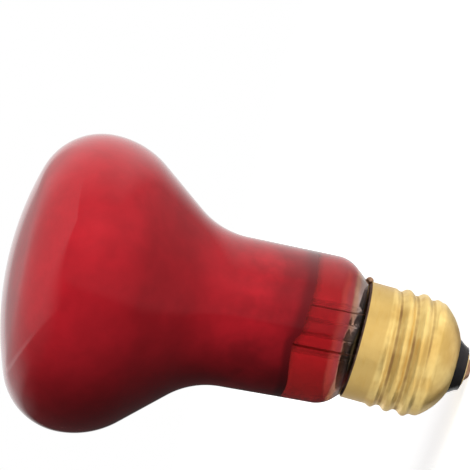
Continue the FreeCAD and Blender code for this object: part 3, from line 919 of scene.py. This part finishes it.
@dataclass(frozen=True)
class Mount:
    """The stem's glass, its wires and the coiled filament.

    Sizes are in millimetres and degrees, in the glass's own frame.
    """

    ring: float = 7.5
    height: float = 42.0
    coil: float = 0.42
    wire: float = 0.07
    wire_sides: int = 6
    turns: int = 120
    steps_per_turn: int = 12
    gap: float = 60.0
    gap_middle: float = -90.0
    supports: int = 4

    def build(self) -> list[str]:
        """Builds the coil's turns and dresses the glass and the wires.

        The coil's path is a helix carried round a level ring: at share t the ring's angle is a(t), the
        helix's angle is b(t), and the point is (ring + coil cos b) outwards at a, coil sin b up.

        Returns:
            A line for the log on each piece.
        """
        share = np.linspace(0.0, 1.0, self.turns * self.steps_per_turn + 1)
        ring_angle = np.radians(self.gap_middle + self.gap / 2 + (360.0 - self.gap) * share)
        coil_angle = 2 * np.pi * self.turns * share
        reach = self.ring + self.coil * np.cos(coil_angle)
        height = self.height + self.coil * np.sin(coil_angle)
        path = np.stack([reach * np.cos(ring_angle), reach * np.sin(ring_angle), height], axis=1)
        points, faces = tube(path, self.wire, self.wire_sides)
        piece = new_piece("filament_turns", points, faces, place_of_glass())
        piece.data.materials.append(Surface.TUNGSTEN.get())
        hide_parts("filament_coil")
        supports = (f"support_wire_{number}" for number in range(1, self.supports + 1))
        return [
            f"built {piece.name} with {len(faces)} faces",
            *dress(Surface.CLEAR, "stem_flare", "exhaust_tube", "arbor_rod"),
            *dress(Surface.NICKEL, "lead_inner_side", "lead_inner_tip"),
            *dress(Surface.COPPER, "seal_wire_side", "seal_wire_tip", "lead_outer_side", "lead_outer_tip"),
            *dress(Surface.TUNGSTEN, *supports),
        ]


@dataclass(frozen=True)
class ScrewCap:
    """The brass shell, its insulator, contact, solder and cement, all of which keep their CAD meshes."""

    def build(self) -> list[str]:
        """Dresses every piece of the cap.

        Returns:
            A line for the log on each piece.
        """
        return [
            *dress(Surface.BRASS, "screw_shell"),
            *dress(Surface.BLACK, "cap_insulator"),
            *dress(Surface.EYELET, "tip_contact"),
            *dress(Surface.BEAD, "tip_solder", "side_solder"),
            *dress(Surface.CEMENT, "basing_cement"),
        ]


# Studio
CAP_METAL = ("screw_shell", "tip_contact", "tip_solder", "side_solder")
CAP_PIECES = (*CAP_METAL, "cap_insulator")


@dataclass(frozen=True)
class Lamp:
    """A soft rectangular studio lamp that points at the object, with its place and size in metres.

    One that names CAD nodes lights those alone and shows in their gloss, as a small reflector does.
    """

    name: str
    place: Place
    size: Span
    radiance: float
    only: tuple[str, ...] = ()

    def build(self, target: Vector) -> str:
        """Makes the lamp, whose power is pi times its radiance times its area.

        Args:
            target: The point it faces, in metres.

        Returns:
            A line for the log.
        """
        data = bpy.data.lights.new(self.name, "AREA")
        data.shape = "RECTANGLE"
        data.size, data.size_y = self.size
        data.energy = self.radiance * math.pi * self.size[0] * self.size[1]
        lamp = bpy.data.objects.new(self.name, data)
        lamp.location = self.place
        lamp.visible_camera = False
        lamp.visible_transmission = False
        lamp.visible_glossy = bool(self.only)
        if self.only:
            receivers = bpy.data.collections.new(self.name)
            for node in self.only:
                receivers.objects.link(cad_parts[node])
            lamp.light_linking.receiver_collection = receivers
        lamp.rotation_mode = "QUATERNION"
        lamp.rotation_quaternion = (target - Vector(self.place)).to_track_quat("-Z", "Y")
        bpy.context.scene.collection.objects.link(lamp)
        return f"placed {self.name}"


@dataclass(frozen=True)
class Room:
    """What gloss sees: a white backdrop beyond the lamp, a pale ceiling, dim walls by the camera and on -X.

    Its shapes are given by parts of the direction, a unit vector in the row frame: side along X, ahead along
    Y and upwards along Z. A span says where such a part starts to count and where it counts in full. The
    ceiling ends in a straight edge on the camera's side, where z + slope y = 0, and dims past another one,
    where x + slope z = 0. A dim strip parts it from the backdrop.
    """

    strip_foot: Span = (0.30, 0.42)
    strip_head: Span = (0.80, 0.48)
    strip_ahead: Span = (0.3, 0.85)
    strip_side: Span = (0.85, 0.0)
    strip_depth: float = 0.42
    backdrop_slope: float = 0.45
    backdrop_ahead: Span = (-0.7, 1.1)
    dark_side_slope: float = 0.9
    dark_side: Span = (-0.4, -0.05)
    under: Span = (-0.6, -0.15)
    under_level: float = 0.2
    wall_middle: Span = (-0.12, 0.0)
    middle_level: float = 0.13
    wall_side: Span = (0.3, 0.9)
    side_level: float = 0.16
    dim_wall: float = 0.05
    far_corner: float = 0.65
    far_corner_slope: float = 2.2
    near_edge_slope: float = 1.06
    near_edge: Span = (-0.02, 0.05)
    near_edge_side: Span = (0.6, -0.3)
    near_edge_blur: float = 0.5
    over_walls: Span = (0.05, 0.4)
    side_edge_slope: float = 0.7
    side_edge: Span = (-0.04, 0.04)
    glint_width: Span = (0.05, 0.0)
    glint_ahead: Span = (-0.4, 0.3)
    glint_level: float = 0.6
    dim_side: Span = (-1.05, -0.35)
    dim_ceiling: float = 0.33
    ceiling: float = 0.75

    def level(self, tree: Tree, direction: Socket) -> Socket:
        """The room's brightness in a direction.

        Args:
            tree: The world's node tree.
            direction: The direction's socket.

        Returns:
            The brightness, where 1 is white.
        """
        way = tree.axes(direction)
        side, ahead, upwards = way
        strip = tree.times(
            tree.step(upwards, *self.strip_foot),
            tree.step(upwards, *self.strip_head),
            tree.step(ahead, *self.strip_ahead),
            tree.step(tree.math("ABSOLUTE", side), *self.strip_side),
        )
        shade = tree.minus(1.0, tree.times(strip, self.strip_depth))
        return tree.times(tree.most(self.walls(tree, way), self.above(tree, way)), shade)

    def walls(self, tree: Tree, way: tuple[Any, Any, Any]) -> Socket:
        """The white backdrop and the dim walls.

        Args:
            tree: The world's node tree.
            way: The direction's parts along X, Y and Z.

        Returns:
            Their brightness.
        """
        side, ahead, upwards = way
        backdrop_place = tree.plus(ahead, tree.times(side, self.backdrop_slope))
        dark_place = tree.plus(side, tree.times(upwards, self.dark_side_slope))
        under = tree.times(tree.step(upwards, *self.under), 1.0 - self.under_level)
        white = tree.times(
            tree.step(backdrop_place, *self.backdrop_ahead),
            tree.step(dark_place, *self.dark_side),
            tree.plus(under, self.under_level),
        )
        middle = tree.times(tree.step(side, *self.wall_middle), self.middle_level)
        bright = tree.times(tree.step(side, *self.wall_side), self.side_level)
        return tree.most(white, tree.plus(middle, bright, self.dim_wall))

    def above(self, tree: Tree, way: tuple[Any, Any, Any]) -> Socket:
        """The ceiling, with a glint along the edge past which it dims.

        Args:
            tree: The world's node tree.
            way: The direction's parts along X, Y and Z.

        Returns:
            Its brightness.
        """
        side, ahead, upwards = way
        corner = tree.times(tree.most(tree.minus(side, self.far_corner), 0.0), self.far_corner_slope)
        near_edge = tree.plus(upwards, tree.times(ahead, self.near_edge_slope))
        blur = tree.times(tree.step(side, *self.near_edge_side), self.near_edge_blur)
        dark, light = self.near_edge
        blurred = tree.minus(dark, blur), tree.plus(light, blur)
        seen = tree.times(
            tree.step(tree.minus(near_edge, corner), *blurred),
            tree.step(upwards, *self.over_walls),
        )
        side_edge = tree.plus(side, tree.times(upwards, self.side_edge_slope))
        lit = tree.times(tree.step(side_edge, *self.side_edge), self.ceiling - self.dim_ceiling)
        glint = tree.times(
            tree.step(tree.math("ABSOLUTE", side_edge), *self.glint_width),
            tree.step(ahead, *self.glint_ahead),
            self.glint_level,
        )
        dim = tree.times(tree.step(side, *self.dim_side), self.dim_ceiling)
        return tree.times(seen, tree.plus(lit, dim, glint))


@dataclass(frozen=True)
class Studio:
    """Pale floor, white surroundings, soft lamps and the camera of the photograph.

    The camera looks along +Y from a little above, rolled so that the lamp lies with its cap to the right. Its
    distance and the floor's radii are in millimetres, and the other places are in metres.
    """

    distance: float = 650.0
    elevation: float = 2.6
    roll: float = 74.4
    pixels_per_mm: float = 4.737
    rim_pixel: Span = (356.0, 339.0)
    frame_pixels: float = 470.0
    sensor: float = 36.0
    clip: Span = (0.01, 10.0)
    floor_radii: Span = (200.0, 1200.0)
    floor_sides: int = 64
    floor_grey: float = 0.8
    floor_roughness: float = 0.9
    floor_white: Span = (0.06, 0.3)
    floor_level: float = 0.7
    seen_light: float = 0.915
    soft_light: float = 0.085
    target: Place = (0.0, 0.0, 0.06)
    lamps: tuple[Lamp, ...] = (
        Lamp("key_lamp", (0.44, -0.6, 0.2), (0.5, 0.5), 8.9),
        Lamp("top_lamp", (0.75, 0.15, 0.12), (0.4, 0.4), 0.8),
        Lamp("face_lamp", (-0.05, -0.2, 0.62), (0.4, 0.4), 1.4),
        Lamp("back_lamp", (-0.35, 0.6, 0.2), (0.4, 0.4), 3.3),
        Lamp("cap_front_lamp", (0.04, -0.4, 0.04), (0.6, 0.6), 0.33, CAP_METAL),
        Lamp("cap_side_lamp", (-0.4, -0.12, 0.04), (0.5, 0.6), 0.75, CAP_METAL),
        Lamp("cap_under_lamp", (-0.3, 0.33, 0.04), (0.5, 0.6), 0.6, CAP_PIECES),
        Lamp("cap_top_lamp", (0.4, 0.1, 0.04), (0.6, 0.6), 0.1, CAP_PIECES),
        Lamp("cap_low_lamp", (0.02, -0.04, 0.0005), (0.24, 0.24), 0.75, CAP_METAL),
    )

    def build(self) -> list[str]:
        """Makes the floor, the surroundings, the lamps and the camera.

        Returns:
            A line for the log on each lamp and on the camera.
        """
        self.floor()
        self.world()
        placed = [lamp.build(Vector(self.target)) for lamp in self.lamps]
        self.camera()
        return [*placed, f"placed the camera {self.distance:.0f} mm away"]

    def floor(self) -> None:
        """Makes the floor: a wide disc that keeps the shadow near the lamp and turns white further out."""
        near, far = self.floor_radii
        outline = np.array([[far, 0.0], [near, 0.0], [0.0, 0.0]])
        points, faces, _ = lathe(outline, self.floor_sides)
        mesh = bpy.data.meshes.new("floor")
        mesh.from_pydata((points * MM).tolist(), [], faces)
        floor = bpy.data.objects.new("floor", mesh)
        bpy.context.scene.collection.objects.link(floor)
        floor.visible_diffuse = False
        floor.visible_glossy = False
        material = bpy.data.materials.new("pale_floor")
        material.use_nodes = True
        tree = Tree(material.node_tree)
        shader = material.node_tree.nodes["Principled BSDF"]
        shader.inputs["Base Color"].default_value = (self.floor_grey, self.floor_grey, self.floor_grey, 1.0)
        shader.inputs["Roughness"].default_value = self.floor_roughness
        shader.inputs["Specular IOR Level"].default_value = 0.0
        shader.inputs["Emission Color"].default_value = (1.0, 1.0, 1.0, 1.0)
        reach = tree.add("ShaderNodeVectorMath", {0: tree.object_place()}, operation="LENGTH")
        white = tree.step(reach.outputs["Value"], *self.floor_white)
        level = tree.plus(tree.times(white, 1.0 - self.floor_level), self.floor_level)
        tree.join(tree.times(level, self.seen(tree)), shader.inputs["Emission Strength"])
        mesh.materials.append(material)

    @staticmethod
    def seen(tree: Tree) -> Socket:
        """1 for rays that show the background: from the camera, in reflections and through glass.

        Args:
            tree: The floor's node tree.

        Returns:
            The socket that is 1 or 0.
        """
        path = tree.add("ShaderNodeLightPath")
        shown = tree.most(path.outputs["Is Camera Ray"], path.outputs["Is Glossy Ray"])
        return tree.most(shown, path.outputs["Is Transmission Ray"])

    def world(self) -> None:
        """Makes the surroundings: white where they are seen, the room in reflections, and soft light."""
        world = bpy.data.worlds.new("studio")
        bpy.context.scene.world = world
        world.use_nodes = True
        tree = Tree(world.node_tree)
        shader = world.node_tree.nodes["Background"]
        shader.inputs["Color"].default_value = (1.0, 1.0, 1.0, 1.0)
        mirrored = Room().level(tree, tree.add("ShaderNodeTexCoord").outputs["Generated"])
        path = tree.add("ShaderNodeLightPath")
        shown = tree.most(path.outputs["Is Camera Ray"], path.outputs["Is Transmission Ray"])
        plain = tree.math("ADD", tree.times(shown, self.seen_light), self.soft_light, clamp=True)
        glossy = tree.times(path.outputs["Is Glossy Ray"], tree.minus(mirrored, plain))
        tree.join(tree.plus(plain, glossy), shader.inputs["Strength"])

    def camera(self) -> None:
        """Places the camera so that the rim's middle falls on its pixel of the photograph."""
        rise, roll = math.radians(self.elevation), math.radians(self.roll)
        ahead = Vector((0.0, math.cos(rise), -math.sin(rise)))
        across = Vector((1.0, 0.0, 0.0))
        upright = Vector((0.0, math.sin(rise), math.cos(rise)))
        right = math.cos(roll) * across - math.sin(roll) * upright
        up = math.sin(roll) * across + math.cos(roll) * upright
        half = self.frame_pixels / 2
        to_right = (self.rim_pixel[0] - half) / self.pixels_per_mm
        to_top = (half - self.rim_pixel[1]) / self.pixels_per_mm
        middle = Vector((0.0, 0.0, RIM_HEIGHT)) - to_right * right - to_top * up
        data = bpy.data.cameras.new("camera")
        data.sensor_width = self.sensor
        data.lens = self.sensor * self.distance * self.pixels_per_mm / self.frame_pixels
        data.clip_start, data.clip_end = self.clip
        camera = bpy.data.objects.new("camera", data)
        turn = Matrix((right, up, -ahead)).transposed().to_4x4()
        camera.matrix_world = Matrix.Translation((middle - self.distance * ahead) * MM) @ turn
        bpy.context.scene.collection.objects.link(camera)
        bpy.context.scene.camera = camera


def main() -> None:
    """Builds the lamp and its studio in order and reports each piece."""
    logging.basicConfig(level=logging.INFO, format="%(name)s: %(message)s")
    bpy.context.scene.view_settings.view_transform = "Standard"
    make_effects()
    make_finishes()
    for assembly in (Bulb(), Mount(), ScrewCap(), Studio()):
        for line in assembly.build():
            log.info(line)


if __name__ == "__main__":
    main()
